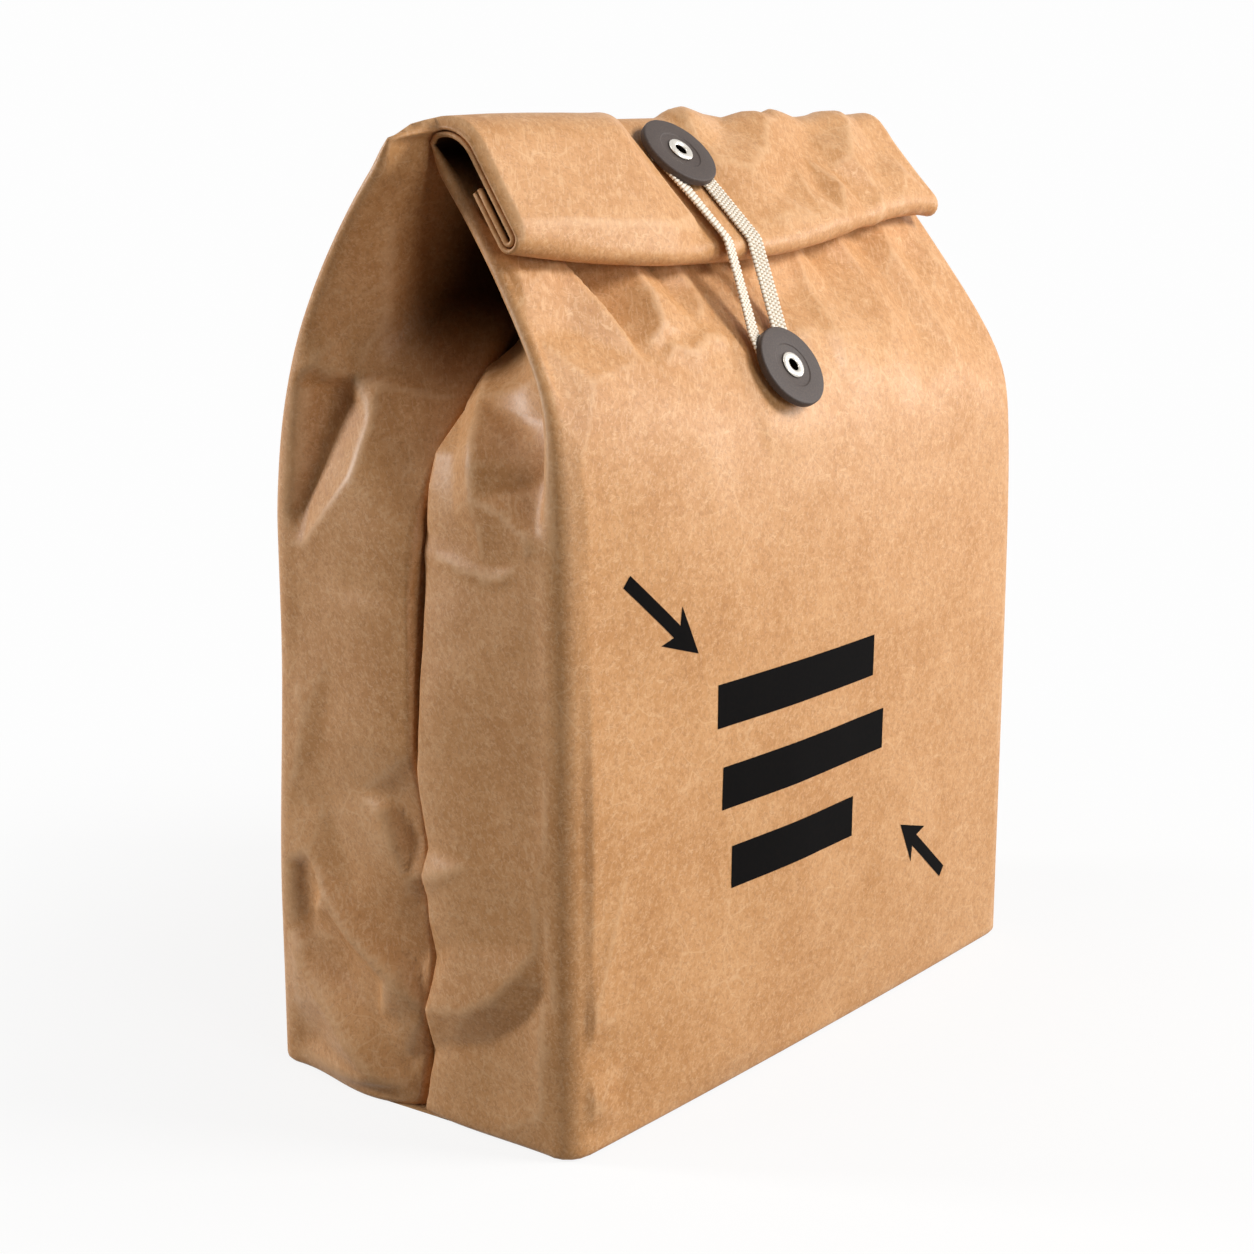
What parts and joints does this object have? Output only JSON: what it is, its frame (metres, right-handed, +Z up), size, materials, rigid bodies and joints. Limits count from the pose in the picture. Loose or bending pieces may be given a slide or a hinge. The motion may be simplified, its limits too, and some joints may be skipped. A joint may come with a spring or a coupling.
{
  "type": "paper lunch bag",
  "caption": "Flat-bottomed lunch bag folded from thick brown paper, with a rolled top held shut by a tape wound behind round buttons.",
  "frame": {"origin": "middle of the flat base, on the surface that the bag stands on", "axes": "+Z up along the bag's height, X along its width, -Y out of the front, where the buttons are"},
  "size_m": [0.2478, 0.1253, 0.2812],
  "materials": {
    "paper": "crumpled satin kraft",
    "tape": "woven cotton",
    "button": "matt",
    "washer": "pressed board",
    "eyelet": "nickel plated"
  },
  "bodies": {
    "root": {"paper_bag": "paper", "closure_tape": "tape", "upper_button": "button", "lower_button": "button", "upper_spacer": "washer", "lower_spacer": "washer", "upper_backing": "washer", "lower_backing": "washer", "upper_eyelet": "eyelet", "lower_eyelet": "eyelet"}
  },
  "joints": []
}
